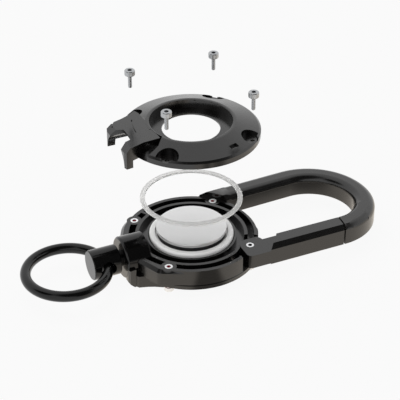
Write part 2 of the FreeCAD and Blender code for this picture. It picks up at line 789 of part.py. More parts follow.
def relief(edge_top, slope):
    """A hollow in the cone along the bridge's near side, equally deep all the way."""
    top = edge_top + size.crest_height
    outside = cover_radius + size.overrun
    floor = edge_top - size.relief_depth
    cone = turned("relief_cone", [
        (crest_radius, floor + slope * (bevel_radius - crest_radius)),
        (outside, floor - slope * (outside - bevel_radius)), (outside, top), (crest_radius, top)])
    low = edge_top - size.crest_height
    points = [(-frame_radius * x_share, -frame_radius * y_share) for x_share, y_share in RELIEF_SHARES]
    return common("relief", cone, padded("relief_plan", points, low, top - low))


def scribed_line(top):
    """A shallow arc-shaped line in the bridge's roof."""
    line_radius = frame_radius - size.line_inset
    outside = cylinder("line_outside", line_radius + size.line_width, size.line_depth + size.overrun)
    inside = cylinder("line_inside", line_radius, size.line_depth + size.overrun)
    for disc in (outside, inside):
        bind(disc, Angle=size.line_sweep)
    return move(cut("scribed_line", outside, inside), 0, 0, top - size.line_depth,
                Rotation(Vector(0, 0, 1), size.line_angle.value))


# Bottom cover: the same crater shape with a closed panel, cored from inside, and the lower bridge.
def make_bottom_cover():
    panel_low = sole_top - size.sole_panel
    rim_in = crest_radius - size.sole_rim * HALF_SHARE
    rim_out = crest_radius + size.sole_rim * HALF_SHARE
    slope = sleeve_seat / (bevel_radius - rim_out)
    boss = cup_radius - size.seat_gap
    core_in = boss + size.outer_wall * HALF_SHARE
    core_floors = [(radius, slope * (radius - rim_out) + size.sole_wall) for radius in (rib_in, core_in)]
    sole = turned("sole", [
        (0, panel_low), (window_radius, panel_low), (window_radius, size.sole_dish), (rim_in, 0),
        (rim_out, 0), (bevel_radius, sleeve_seat), (cover_radius, size.base_height - size.sole_edge),
        (cover_radius, size.base_height - size.sole_seam),
        (cover_radius - size.sole_seam, size.base_height), (rib_in, size.base_height), *core_floors,
        (core_in, size.base_height), (boss, size.base_height), (boss, sole_top), (0, sole_top)])
    bridge = make_bridge("sole", size.sole_lift, size.base_height, size.sole_lift,
                         size.swivel_height - size.sole_leg_gap, size.sole_lift, -1)
    flank = bridge_shoulder("sole_shoulder", -1, size.sole_lift, size.base_height)
    dish = turned("sole_dish_room", [
        (0, -size.overrun), (rim_in, -size.overrun), (rim_in, 0), (window_radius, size.sole_dish),
        (window_radius, panel_low), (0, panel_low)])
    nuts = [*corners, pivot]
    holes = around_nuts("sole_hole", sleeve_hole, sleeve_seat - size.overrun, size.base_height, nuts)
    seats = around_nuts("sole_seat", size.sleeve_head_radius + size.running_gap, -size.overrun,
                        sleeve_seat + size.overrun, nuts)
    return cut("bottom_cover", fuse("sole_whole", [sole, bridge, flank]), dish, *holes, *seats,
               barrel_room("sole_barrel_room", size.swivel_height))


# Swivel: a barrel that the two bridges clamp, and an eye whose riveted stem turns in it.
def turned_along_x(name, points):
    """A turned piece on the swivel's axis. A point is (radius, distance towards the key ring)."""
    body = turned(name, points)
    return move(body, 0, 0, size.swivel_height, Rotation(Vector(0, 1, 0), -90))


def make_barrel():
    wall = barrel_start - size.barrel_wall
    bore = size.stem_radius + size.running_gap
    return turned_along_x("swivel_barrel", [
        (bore, barrel_start), (size.barrel_radius - size.barrel_chamfer, barrel_start),
        (size.barrel_radius, barrel_start - size.barrel_chamfer), (size.barrel_radius, barrel_end),
        (size.barrel_bore, barrel_end), (size.barrel_bore, wall), (bore, wall)])


def make_washer():
    face = barrel_start - size.barrel_wall - size.seat_gap
    back = face - size.washer_thickness
    bore = size.stem_radius + size.running_gap
    return turned_along_x("swivel_washer", [
        (bore, face), (size.washer_radius, face), (size.washer_radius, back), (bore, back)])


def make_eye():
    """The eye, its stem and the stem's riveted end are one piece, drilled across for the key ring."""
    eye_start = eye_end + size.eye_length
    rivet_top = barrel_start - size.barrel_wall - size.washer_thickness - 2 * size.seat_gap
    rivet_end = rivet_top - size.rivet_height
    shoulder = size.eye_radius - size.eye_chamfer
    turned_eye = turned_along_x("eye_turned", [
        (0, eye_start), (shoulder, eye_start), (size.eye_radius, eye_start - size.eye_chamfer),
        (size.eye_radius, eye_end + size.eye_chamfer), (shoulder, eye_end), (size.stem_radius, eye_end),
        (size.stem_radius, rivet_top), (size.rivet_radius, rivet_top),
        (size.rivet_radius - size.rivet_height * HALF_SHARE, rivet_end), (0, rivet_end)])
    half = size.eye_radius + size.overrun
    hole = cylinder("eye_hole", size.eye_hole_radius, 2 * half, -eye_hole_x, -half, size.swivel_height,
                    ALONG_Y)
    return cut("swivel_eye", turned_eye, hole)


# Key ring: one closed loop of round wire. It bows across the eye, so its crown stands half of that bow
# past the middle of the eye's hole.
ring_bow = size.ring_radius - side_of(size.ring_radius, size.eye_radius)
ring_centre = eye_hole_x - ring_bow * HALF_SHARE + size.ring_radius


def make_key_ring():
    ring = doc.addObject("Part::Torus", "key_ring")
    bind(ring, Radius1=size.ring_radius, Radius2=size.ring_wire)
    return move(ring, -ring_centre, 0, size.swivel_height)


# Seal: a flat ring that lies in the frame's groove under the cover's land.
def make_seal():
    low = seal_seat + size.seal_lift
    high = low + size.seal_thickness
    inside = cup_outside + size.seat_gap
    outside = rib_in - size.seal_side_gap
    return turned("seal_ring", [(inside, low), (outside, low), (outside, high), (inside, high)])


# Tag: a domed white shell, a steel battery lid, and what the shell holds.
def make_tag():
    top = tag_base + size.tag_thickness
    widest = tag_base + size.tag_widest_height
    rim = tag_base + size.tag_rim_height
    dome_top = tag_base + size.tag_dome_rise
    floor = dome_top + size.tag_wall
    dome_radius = size.tag_radius - size.tag_dome_inset
    shoulder = rim - widest
    rim_radius = size.tag_radius - size.tag_rim_width
    lid_radius = rim_radius - size.lid_gap
    lid_inside = lid_radius - size.lid_sheet
    lid_top = top - size.lid_rise
    lid_low = lid_top - size.lid_edge
    lid = turned("tag_battery_lid", [
        (0, top - size.lid_sheet), (lid_inside, lid_top - size.lid_sheet), (lid_inside, lid_low),
        (lid_radius, lid_low), (lid_radius, lid_top), (0, top, arch_radius(lid_radius, size.lid_rise), 1)])
    recess = rim - size.tag_rim_recess
    shell = turned("tag_shell", [
        (0, tag_base), (dome_radius, dome_top, arch_radius(dome_radius, size.tag_dome_rise), 1),
        (size.tag_radius, widest, arch_radius(widest - dome_top, size.tag_dome_inset), 1),
        (size.tag_radius - shoulder, rim, shoulder, 1), (rim_radius, rim), (rim_radius, recess),
        (lid_inside, recess), (lid_inside, floor), (0, floor)])
    carrier_out = lid_inside - size.seat_gap
    carrier_in = carrier_out - size.carrier_rim
    carrier_hole = carrier_in - size.carrier_ledge
    cell_radius = carrier_in - size.seat_gap
    cell_top = lid_top - size.lid_sheet - size.seat_gap
    cell_low = cell_top - size.cell_thickness
    ledge = cell_low - size.seat_gap
    tray = ledge - size.carrier_floor
    carrier = turned("tag_carrier", [
        (carrier_hole, tray), (carrier_out, tray), (carrier_out, cell_top), (carrier_in, cell_top),
        (carrier_in, ledge), (carrier_hole, ledge)])
    step = cell_radius - size.cell_step
    step_top = cell_low + size.cell_step_height
    cell = turned("coin_cell", [
        (0, cell_low), (step, cell_low), (step, step_top), (cell_radius, step_top), (cell_radius, cell_top),
        (0, cell_top)])
    board_radius = carrier_out - size.board_inset
    return [shell, lid, carrier, cell, *make_tag_works(floor, tray, cell_low, carrier_hole, board_radius)]


def make_tag_works(floor, tray, cell_low, carrier_hole, board_radius):
    """Circuit board with its chips, sounder and battery contacts, between the shell's floor and the cell."""
    board_top = tray - size.running_gap
    board_low = board_top - size.board_thickness
    board_hole = board_radius * BOARD_HOLE_SHARE
    disc = cut("board_disc", cylinder("board_round", board_radius, size.board_thickness, 0, 0, board_low),
               cylinder("board_hole_room", board_hole, size.board_thickness + 2 * size.overrun, 0, 0,
                        board_low - size.overrun))
    middle = (board_hole + board_radius) * HALF_SHARE
    half = size.chip_length * HALF_SHARE
    centre = as_size(0)
    chip_low = board_low - size.chip_height
    chips = [block(f"chip_{i}", x - half, x + half, y - half, y + half, chip_low, board_low)
             for i, (x, y) in enumerate([(middle, centre), (-middle, centre), (centre, middle)])]
    board = fuse("tag_board", [disc, *chips])
    low = floor + size.seat_gap
    high = low + size.sounder_height
    well = low + size.sounder_height * HALF_SHARE
    rim = board_hole - size.sounder_inset
    sounder = turned("tag_sounder", [
        (0, low), (rim, low), (rim, high), (size.sounder_pole, high), (size.sounder_pole, well), (0, well)])
    start = board_hole + size.seat_gap
    end = carrier_hole - 2 * size.seat_gap
    wide = size.contact_width * HALF_SHARE
    top = cell_low - size.running_gap
    strips = [block("contact_plus", start, end, -wide, wide, board_top, top),
              block("contact_minus", -end, -start, -wide, wide, board_top, top)]
    return [board, sounder, group("battery_contacts", strips)]


nodes = [
    make_frame(), make_gate(), make_spring(), make_top_cover(), make_bottom_cover(), make_seal(),
    make_barrel(), make_washer(), make_eye(), make_key_ring(), *make_tag(),
    make_sleeve("gate_pivot", *pivot),
    group("sleeve_nuts", [make_sleeve(f"sleeve_{i}", *place) for i, place in enumerate(corners, start=1)]),
    group("cover_screws", [make_screw(f"screw_{i}", *place)
                           for i, place in enumerate([*corners, pivot], start=1)]),
]

# The origin lies on the floor below the middle of the part's length.
tag_axis_x = (ring_centre + size.ring_radius + size.ring_wire - bend_reach) * HALF_SHARE
for node in nodes:
    node.Label = node.Name
    place = node.Placement
    base = {axis: formula for axis, formula in node.ExpressionEngine}
    old = base.get("Placement.Base.x") or base.get(".Placement.Base.x")
    shifted = Placement(place.Base + Vector(tag_axis_x.value, 0, 0), place.Rotation)
    node.Placement = shifted
    node.setExpression("Placement.Base.x", f"{old} + {tag_axis_x.formula}" if old else tag_axis_x.formula)
doc.recompute()

failed = [item.Name for item in doc.Objects if "Invalid" in item.State or "Error" in item.State]
if failed:
    raise RuntimeError("objects that failed: " + ", ".join(failed))
for node in nodes:
    if node.Shape.isNull() or not node.Shape.isValid():
        raise RuntimeError(f"{node.Label} has no valid shape")
for node in nodes:
    node.Shape.exportStep(f"parts/{node.Label}.step")
    box = node.Shape.BoundBox
    print(f"{node.Label}: {len(node.Shape.Solids)} solids, {node.Shape.Volume:.1f} mm3, "
          f"x {box.XMin:.2f} to {box.XMax:.2f}, y {box.YMin:.2f} to {box.YMax:.2f}, "
          f"z {box.ZMin:.2f} to {box.ZMax:.2f}")
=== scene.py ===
# %% [markdown]
# # A screwed tag holder with a snap hook, taken apart on a white table
# The holder is a black moulded case. Its frame runs out into a snap hook, and a swivel with a key ring is
# clamped at the other end. It is shown as it is opened to change the tag: the screws, the top cover and
# the seal hang above the case. The CAD model gives every size and place. This script gives the looks:
# rounded edges, knurls and threads, finishes, light and camera.

# %% Load the frame
import json
import math

import bmesh
import bpy
from mathutils import Matrix, Vector


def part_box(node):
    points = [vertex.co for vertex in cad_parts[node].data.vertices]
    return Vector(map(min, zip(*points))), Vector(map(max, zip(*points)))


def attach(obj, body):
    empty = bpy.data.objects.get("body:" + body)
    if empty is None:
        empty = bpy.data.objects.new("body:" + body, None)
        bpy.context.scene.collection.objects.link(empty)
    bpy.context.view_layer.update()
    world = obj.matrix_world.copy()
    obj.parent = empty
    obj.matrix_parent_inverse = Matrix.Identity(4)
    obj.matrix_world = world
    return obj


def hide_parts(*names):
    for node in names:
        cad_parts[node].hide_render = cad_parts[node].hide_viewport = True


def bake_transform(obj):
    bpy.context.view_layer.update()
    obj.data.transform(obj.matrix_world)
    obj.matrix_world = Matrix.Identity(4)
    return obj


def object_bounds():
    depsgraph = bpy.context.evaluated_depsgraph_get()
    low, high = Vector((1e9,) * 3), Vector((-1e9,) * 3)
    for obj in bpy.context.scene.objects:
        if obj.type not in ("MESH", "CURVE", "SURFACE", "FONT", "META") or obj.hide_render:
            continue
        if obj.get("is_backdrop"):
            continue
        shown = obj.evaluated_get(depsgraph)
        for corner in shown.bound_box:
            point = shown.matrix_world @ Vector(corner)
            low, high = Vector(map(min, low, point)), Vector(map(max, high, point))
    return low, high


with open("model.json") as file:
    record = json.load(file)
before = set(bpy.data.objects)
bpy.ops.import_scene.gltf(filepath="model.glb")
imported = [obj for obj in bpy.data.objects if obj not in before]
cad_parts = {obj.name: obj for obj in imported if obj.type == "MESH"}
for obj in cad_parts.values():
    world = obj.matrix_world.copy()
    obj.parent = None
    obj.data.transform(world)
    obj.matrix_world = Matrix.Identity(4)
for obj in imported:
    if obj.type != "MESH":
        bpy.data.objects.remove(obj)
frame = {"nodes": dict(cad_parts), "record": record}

MM = 0.001
cad_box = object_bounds()

# %% [markdown]
# ## Camera
# The photo is a long-lens view from the front left, about 33 degrees above the table. Its lens and place
# could be guessed by eye. Here they were fitted to points of the round tag and the screws, so a piece at
# its CAD place also lies on its own pixels. Places are counted from the tag's axis.

# %% Aim the camera
LENS_MM, SENSOR_MM = 122.43, 36
EYE_MM = Vector((-173.13, -386.48, 301.70))
TARGET_MM = Vector((-1.021, -10.0, 32.805))

tag_low, tag_high = (Vector(corner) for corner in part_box("tag_shell"))
tag_x = (tag_low.x + tag_high.x) / 2
tag_axis = Vector((tag_x, 0, 0))
eye = EYE_MM * MM + tag_axis
sight = TARGET_MM * MM + tag_axis - eye

lens = bpy.data.cameras.new("photo_camera")
lens.lens = LENS_MM
lens.sensor_width = SENSOR_MM
camera = bpy.data.objects.new("photo_camera", lens)
camera.location = eye
camera.rotation_euler = sight.to_track_quat("-Z", "Y").to_euler()
bpy.context.scene.collection.objects.link(camera)
bpy.context.scene.camera = camera
print(f"camera {sight.length:.3f} m from its target, tag axis at x = {tag_x / MM:.2f} mm")

# %% [markdown]
# ## Colours, scales and nodes
# A colour is picked as an sRGB hex value, as it looks on screen, while Blender's shaders count in linear
# light. One function converts, by the curve of the sRGB standard. Patterns are read from Object
# coordinates, which are metres here, so a second one turns a spacing in millimetres into a pattern's
# scale. A third one adds a node, sets its values and links its inputs, and a fourth starts a material.
# With them, each material below reads as a short list.

# %% Colours and pattern scales
def linear(hex_colour):
    """An sRGB hex colour such as #1b1a19 as linear RGBA."""
    parts = [int(hex_colour[i:i + 2], 16) / 255 for i in (1, 3, 5)]
    return (*[c / 12.92 if c <= 0.04045 else ((c + 0.055) / 1.055) ** 2.4 for c in parts], 1.0)


def per_mm(spacing):
    """The scale of a pattern whose features are this many millimetres apart."""
    return 1 / (spacing * MM)


print(f"a 0.3 mm grain has scale {per_mm(0.3):.0f}")
print(f"#808080 is {linear('#808080')[0]:.3f} in linear light")


# %% Nodes and new finishes
def add_node(tree, kind, links=None, values=None, **settings):
    """Adds a node. links maps an input to an output socket, values maps an input to a number or colour."""
    node = tree.nodes.new(kind)
    for name, setting in settings.items():
        setattr(node, name, setting)
    for name, value in (values or {}).items():
        node.inputs[name].default_value = value
    for name, socket in (links or {}).items():
        tree.links.new(socket, node.inputs[name])
    return node


def new_finish(name, **constants):
    """A material with its shader's constants set, its node tree, and where its patterns are read from."""
    finish = bpy.data.materials.new(name)
    finish.use_nodes = True
    tree = finish.node_tree
    shader = tree.nodes["Principled BSDF"]
    for socket, value in constants.items():
        shader.inputs[socket.replace("_", " ")].default_value = value
    place = add_node(tree, "ShaderNodeTexCoord").outputs["Object"]
    print("made", name)
    return finish, tree, shader.inputs, place


# %% [markdown]
# ## A recipe for mottled finishes
# No real surface is even. Its colour and its gloss drift together: over the worn patches of a mould, along
# the marks of a lathe, or with the thickness of a varnish. Painted images could carry that, but a noise
# needs no file and has a size in millimetres. So one noise, stretched where the marks have a direction,
# mixes two tones and moves the roughness between two values. Most of a noise lies between 0.3 and 0.7, so
# that is the spread that counts, unless a finish is given the whole range.

# %% Mottled finish
NOISE_SPREAD, WHOLE_RANGE = (0.3, 0.7), (0.0, 1.0)


def mottled(name, spacing, tones, roughness, spread=NOISE_SPREAD, stretch=None, detail=2.0, **constants):
    """A finish whose tone and roughness follow a noise with features this many millimetres apart."""
    finish, tree, shader, place = new_finish(name, **constants)
    if stretch:
        place = add_node(tree, "ShaderNodeMapping", {"Vector": place}, {"Scale": stretch}).outputs["Vector"]
    noise = add_node(tree, "ShaderNodeTexNoise", {"Vector": place},
                     {"Scale": per_mm(spacing), "Detail": detail}).outputs["Fac"]
    tone = add_node(tree, "ShaderNodeMix", {"Factor": noise},
                    {"A": linear(tones[0]), "B": linear(tones[1])}, data_type="RGBA")
    rough = add_node(tree, "ShaderNodeMapRange", {"Value": noise},
                     {"From Min": spread[0], "From Max": spread[1],
                      "To Min": roughness[0], "To Max": roughness[1]})
    tree.links.new(tone.outputs["Result"], shader["Base Color"])
    tree.links.new(rough.outputs["Result"], shader["Roughness"])
    return finish


# %% [markdown]
# ## Moulded black nylon
# The frame, the gate and both covers are glass-filled nylon from a finely blasted mould. That gives a
# satin black: a soft reflection of the studio, broken by a fine grain, with slightly duller patches where
# the glass comes to the surface and the mould has worn. One even roughness would be simpler, but then the
# case would look like fresh paint. The patches are several millimetres across. The grain is about 0.2 mm
# on the real part, and is drawn at 0.35 mm so that it shows.

# %% Finish of the case
PATCH_MM, GRAIN_MM, GRAIN_DEPTH_MM = 9, 0.35, 0.02


def moulded_nylon():
    finish = mottled("moulded_glass_filled_nylon", PATCH_MM, ("#080707", "#0e0d0c"), (0.17, 0.25),
                     detail=3.0, IOR=1.6)
    tree = finish.node_tree
    place = add_node(tree, "ShaderNodeTexCoord").outputs["Object"]
    grain = add_node(tree, "ShaderNodeTexNoise", {"Vector": place},
                     {"Scale": per_mm(GRAIN_MM), "Detail": 2.0})
    relief = add_node(tree, "ShaderNodeBump", {"Height": grain.outputs["Fac"]},
                      {"Strength": 0.12, "Distance": GRAIN_DEPTH_MM * MM})
    tree.links.new(relief.outputs["Normal"], tree.nodes["Principled BSDF"].inputs["Normal"])
    return finish


nylon = moulded_nylon()

# %% [markdown]
# ## Black lacquered steel
# The barrel, the eye and the key ring are turned or bent steel under a thin black lacquer. It is darker
# and glossier than the nylon, so its reflections are narrow streaks. A clear coat over a black base could
# make it, but one glossy layer looks the same and is simpler. Fine lathe marks run round the swivel, and
# show as a slight change of gloss along X. They are drawn 0.4 mm apart, a little coarser than real ones.

# %% Finish of the swivel and the key ring
LATHE_MARK_MM, LATHE_DEPTH_MM = 0.4, 0.005
ROUND_X = (1.0, 0.02, 0.02)


def black_lacquer():
    finish, tree, shader, place = new_finish("black_lacquered_steel", Base_Color=linear("#070707"), IOR=1.5,
                                             Specular_IOR_Level=0.36)
    bands = add_node(tree, "ShaderNodeMapping", {"Vector": place}, {"Scale": ROUND_X})
    marks = add_node(tree, "ShaderNodeTexNoise", {"Vector": bands.outputs["Vector"]},
                     {"Scale": per_mm(LATHE_MARK_MM), "Detail": 1.0}).outputs["Fac"]
    gloss = add_node(tree, "ShaderNodeMapRange", {"Value": marks},
                     {"From Min": NOISE_SPREAD[0], "From Max": NOISE_SPREAD[1],
                      "To Min": 0.1, "To Max": 0.17})
    relief = add_node(tree, "ShaderNodeBump", {"Height": marks},
                      {"Strength": 0.05, "Distance": LATHE_DEPTH_MM * MM})
    tree.links.new(gloss.outputs["Result"], shader["Roughness"])
    tree.links.new(relief.outputs["Normal"], shader["Normal"])
    return finish


lacquer = black_lacquer()

# %% [markdown]
# ## Turned metals
# The screws are stainless steel and the sleeve nuts nickel-plated brass. Both come off a lathe that turns
# about Z, so their marks are level bands. A texture round each axis would need one centre for every screw.
# A noise that is stretched level gives the bands to all of them at once. Real marks are under 0.1 mm
# apart, and these are drawn a few times coarser so that they show. The nuts' nickel is satin and scatters
# light like a pale paint, so it is only half metallic here. The same recipe serves the spring, the washer,
# the cell's can, the sounder and the contacts, which hardly show.

# %% Finishes of screws, nuts and hidden metal
LEVEL_BANDS = (0.05, 0.05, 1.0)
GLOSS_DRIFT = 0.05


def turned_metal(name, tones, roughness, band_mm, metallic=1.0):
    return mottled(name, band_mm, tones, (roughness - GLOSS_DRIFT, roughness + GLOSS_DRIFT),
                   stretch=LEVEL_BANDS, Metallic=metallic)


stainless = turned_metal("turned_stainless_steel", ("#a4a6a8", "#b6b8ba"), 0.3, 0.2)
nickel = turned_metal("nickel_plated_brass", ("#f4f5f6", "#fbfcfd"), 0.3, 0.25, metallic=0.5)
spring_steel = turned_metal("drawn_spring_steel", ("#aaa8a4", "#c0beba"), 0.3, 0.3)
cell_can = turned_metal("nickel_plated_cell_can", ("#c4c2bd", "#d6d4cf"), 0.34, 0.4)
sounder_metal = turned_metal("sintered_sounder_magnet", ("#77777b", "#96969a"), 0.42, 0.5)
contact_brass = turned_metal("rolled_spring_brass", ("#bf9a4c", "#d3b06a"), 0.28, 0.3)

# %% [markdown]
# ## Thread-locking compound
# The bores of three sleeve nuts are dark red inside: a compound that has dried in the thread and keeps
# the screws from working loose. It could be a thin piece of its own, but it has no thickness to see, so
# it is a second finish on the bores' faces. It is a glossy varnish with thick and thin places about 0.5 mm
# across.

# %% Finish inside the nuts
VARNISH_RUN_MM = 0.5
thread_red = mottled("dried_thread_locker", VARNISH_RUN_MM, ("#8a0f1c", "#b3152a"), (0.25, 0.45),
                     spread=WHOLE_RANGE, IOR=1.5)

# %% [markdown]
# ## Clear silicone
# The seal is a soft translucent ring. Silicone is milky rather than clear: about half of the light goes
# through, and the rest is scattered. A volume inside the ring could do that, but it renders slowly, so the
# shader is set half transparent instead. A slight cloudiness, about 3 mm across, keeps it from looking
# like glass, and a fine mould texture dulls it.

# %% Finish of the seal
CLOUD_MM = 3
silicone = mottled("clear_silicone_rubber", CLOUD_MM, ("#f9f9f8", "#fdfdfc"), (0.28, 0.32),
                   IOR=1.41, Transmission_Weight=0.5)

# %% [markdown]
# ## The tag's plastics
# The shell is polished white polycarbonate. It is almost even, so only a faint waviness of its gloss, a
# few millimetres across, tells it from plain paint. The tray between shell and lid is matt black plastic
# with a spark-eroded grain. That is drawn 0.25 mm apart, about twice as coarse as a real one. Both follow
# the mottled recipe, because nothing in them has a direction.

# %% Finishes of shell and tray
WAVE_MM, ERODED_GRAIN_MM = 4, 0.25
shell_white = mottled("polished_white_polycarbonate", WAVE_MM, ("#f4f4f3", "#fafaf9"), (0.16, 0.24),
                      IOR=1.58)
tray_black = mottled("spark_eroded_black_plastic", ERODED_GRAIN_MM, ("#121213", "#1e1e20"), (0.45, 0.65),
                     spread=WHOLE_RANGE, IOR=1.5)

# %% [markdown]
# ## The tag's steel lid
# The lid is pressed and then polished while it spins, which leaves rings about the tag's axis. A stretched
# noise can't run in rings, so a wave texture draws them, centred on the tag. Real ones are finer than
# 0.1 mm; here they are 0.3 mm apart, so that they show. At a scale of 1 the waves are pi / 10 apart.

# %% Finish of the lid
POLISH_RING_MM = 0.3
WAVE_UNIT = math.pi / 10


def spun_steel():
    finish, tree, shader, place = new_finish("spun_polished_steel", Metallic=1.0)
    centred = add_node(tree, "ShaderNodeMapping", {"Vector": place}, {"Location": (-tag_x, 0, 0)})
    rings = add_node(tree, "ShaderNodeTexWave", {"Vector": centred.outputs["Vector"]},
                     {"Scale": per_mm(POLISH_RING_MM) * WAVE_UNIT, "Distortion": 1.5, "Detail": 2.0},
                     wave_type="RINGS", rings_direction="Z").outputs["Fac"]
    tone = add_node(tree, "ShaderNodeMix", {"Factor": rings},
                    {"A": linear("#dadada"), "B": linear("#e3e3e3")}, data_type="RGBA")
    gloss = add_node(tree, "ShaderNodeMapRange", {"Value": rings}, {"To Min": 0.36, "To Max": 0.43})
    tree.links.new(tone.outputs["Result"], shader["Base Color"])
    tree.links.new(gloss.outputs["Result"], shader["Roughness"])
    return finish


lid_steel = spun_steel()

# %% [markdown]
# ## The tag's circuit board
# The board has a green mask over tracks about 0.8 mm apart. Nobody sees it until the tag is opened, so the
# tracks aren't modelled. A brick texture stands for them: its joints are the tracks, and the mask is a
# little glossier over them. At a scale of 1 a row of bricks is 0.25 high, and a track takes an eighth of it.

# %% Finish of the board
TRACK_MM, TRACK_SHARE = 0.8, 0.12
ROW_HEIGHT = 0.25


def solder_mask():
    finish, tree, shader, place = new_finish("green_solder_mask", IOR=1.52)
    tracks = add_node(tree, "ShaderNodeTexBrick", {"Vector": place},
                      {"Scale": per_mm(TRACK_MM) * ROW_HEIGHT, "Mortar Size": TRACK_SHARE * ROW_HEIGHT,
                       "Color1": linear("#1c5a33"), "Color2": linear("#205f38"),
                       "Mortar": linear("#2f7a49")})
    gloss = add_node(tree, "ShaderNodeMapRange", {"Value": tracks.outputs["Fac"]},
                     {"To Min": 0.35, "To Max": 0.25})
    tree.links.new(tracks.outputs["Color"], shader["Base Color"])
    tree.links.new(gloss.outputs["Result"], shader["Roughness"])
    return finish


board_green = solder_mask()

# %% [markdown]
# ## Joined copies
# The CAD solids come as loose triangles with plain edges. A Bevel modifier could round the edges, but it
# would also work on the seams between the triangles. So each visible piece is a copy of its node: corners
# at the same place are joined, and triangles that lie in one plane become one face.

# %% Joining
WELD_MM = 0.002
FLAT_DEGREES = 0.4


def joined_copy(node):
    """A bmesh of a CAD node with its triangles joined into whole flat faces."""
    mesh = bmesh.new()
    mesh.from_mesh(frame["nodes"][node].data)
    bmesh.ops.remove_doubles(mesh, verts=mesh.verts, dist=WELD_MM * MM)
    bmesh.ops.dissolve_limit(mesh, angle_limit=math.radians(FLAT_DEGREES), verts=mesh.verts,
                             edges=mesh.edges)
    return mesh


gate_triangles = frame["nodes"]["gate"].data.polygons
gate_sample = joined_copy("gate")
print(f"{len(gate_triangles)} triangles of the gate join into {len(gate_sample.faces)} faces")
gate_sample.free()

# %% [markdown]
# ## Rounded edges
# A moulded edge is never knife sharp: a radius of a few tenths of a millimetre catches the light. Only the
# sharp outer edges of a copy are bevelled, and an edge that a hand meets gets a wider bevel. Blender can
# hold bevels back where they would overlap, but it then shrinks all that are made in one go, for the sake
# of one short edge. So a bevel that rounds a whole bar isn't held back. Its faces are split off first, at
# a given X, so that it leaves the faces beside them alone.

# %% Rounding
SHARP_DEGREES = 28
BAR_BEVEL_MM = 0.5
BAR_STEPS, EDGE_STEPS = 5, 2
SNAP_MM = 0.001


def rounded_copy(node, width, least_turn=SHARP_DEGREES, split_x=None):
    """A copy with bevelled edges. width is in millimetres, or a function of where an edge's middle is."""
    mesh = joined_copy(node)
    if split_x is not None:
        bmesh.ops.bisect_plane(mesh, geom=mesh.verts[:] + mesh.edges[:] + mesh.faces[:], dist=SNAP_MM * MM,
                               plane_co=(split_x, 0, 0), plane_no=(1, 0, 0))
    groups = {}
    for edge in mesh.edges:
        outer = len(edge.link_faces) == 2 and edge.is_convex
        if outer and edge.calc_face_angle() > math.radians(least_turn):
            middle = (edge.verts[0].co + edge.verts[1].co) / 2
            groups.setdefault(width(middle) if callable(width) else width, []).append(edge)
    for size in sorted(groups, reverse=True):
        left = [edge for edge in groups[size] if edge.is_valid]
        if left:
            bar = size > BAR_BEVEL_MM
            bmesh.ops.bevel(mesh, geom=left, offset=size * MM, offset_type="OFFSET", affect="EDGES",
                            segments=BAR_STEPS if bar else EDGE_STEPS, profile=0.5,
                            clamp_overlap=not bar, material=-1)
    print(f"{node}: {sum(map(len, groups.values()))} sharp edges, rounded by {sorted(groups)} mm")
    return mesh


# %% [markdown]
# ## Placing a piece
# A finished mesh stands for its CAD node: it replaces the node, gets its finishes and, unless it is given
# bends, rides on its body. All faces are smooth, with sharp edges only where the surface turns by more than
# 26 degrees. Normals
# could be left to Blender, but then a narrow bevel would bend the shading of a wide flat face beside it.
# Weighted normals keep the flat face flat.

# %% Bodies and slots
def body_of(node):
    return next(body for body, nodes in frame["record"]["behaviour"]["bodies"].items() if node in nodes)


def slot_of(node):
    return next(row["material_slot"] for row in frame["record"]["subparts"] if row["node"] == node)


print("the gate is on body", body_of("gate"), "and has slot", slot_of("gate"))

# %% From mesh to piece
SMOOTH_DEGREES = 26


def place_piece(name, mesh, finishes, node, bends=None):
    """Makes a bmesh a piece that stands for a CAD node. It rides on its body, or stays put when bends is
    given.
    """
    data = bpy.data.meshes.new(name)
    mesh.to_mesh(data)
    mesh.free()
    for finish in finishes:
        data.materials.append(finish)
    data.set_sharp_from_angle(angle=math.radians(SMOOTH_DEGREES))
    for face in data.polygons:
        face.use_smooth = True
    piece = bpy.data.objects.new(name, data)
    bpy.context.scene.collection.objects.link(piece)
    weigh = piece.modifiers.new("flat faces stay flat", "WEIGHTED_NORMAL")
    weigh.keep_sharp = True
    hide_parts(node)
    if bends:
        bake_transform(piece)
    else:
        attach(piece, body_of(node))
    print(f"{name}: {len(data.polygons)} faces")


# %% [markdown]
# ## Frame and gate
# The frame's ring and its lowest edges are crisp. The hook's spine and bend fill a hand, so they are
# rounded like a bar. The nose gets crisper towards its tip. Where nose and gate meet, both are almost
# sharp, so that the seam between them stays a thin line. A round bar swept along the hook's line could
# replace it, but the bevelled copy keeps the hook's flat flanks.

# %% How round the frame's edges are
# Widths of bevels, in millimetres.
CRISP, SEAM, TIP, NOSE, BAR, HANDLED = 0.12, 0.04, 0.3, 0.75, 1.1, 0.25
# Where the hook's stretches begin or end, in millimetres from the tag's axis. The spine is above SPINE_Y.
SPINE_START, TIP_END, BEND_START, SPINE_Y = 24, 58, 66, -10
# How far up the lowest edges reach, and how far from the seam edges count as its own.
LOWEST, NOSE_SEAM, GATE_SEAM = 1, 0.8, 0.3
frame_low = Vector(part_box("frame")[0])
gate_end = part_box("gate")[1][0]


def frame_edge_width(place):
    x, y = (place.x - tag_x) / MM, place.y / MM
    if x < SPINE_START or place.z < frame_low.z + LOWEST * MM:
        return CRISP
    if y < SPINE_Y and place.x < gate_end + NOSE_SEAM * MM:
        return SEAM
    if y > SPINE_Y or x > BEND_START:
        return BAR
    return TIP if x < TIP_END else NOSE


def gate_edge_width(place):
    return SEAM if place.x > gate_end - GATE_SEAM * MM else HANDLED


print(f"the gate ends {(gate_end - tag_x) / MM:.1f} mm from the tag's axis")

# %% Frame and gate
split_x = tag_x + SPINE_START * MM
place_piece("frame_moulding", rounded_copy("frame", frame_edge_width, split_x=split_x), [nylon], "frame")
place_piece("gate_moulding", rounded_copy("gate", gate_edge_width), [nylon], "gate")

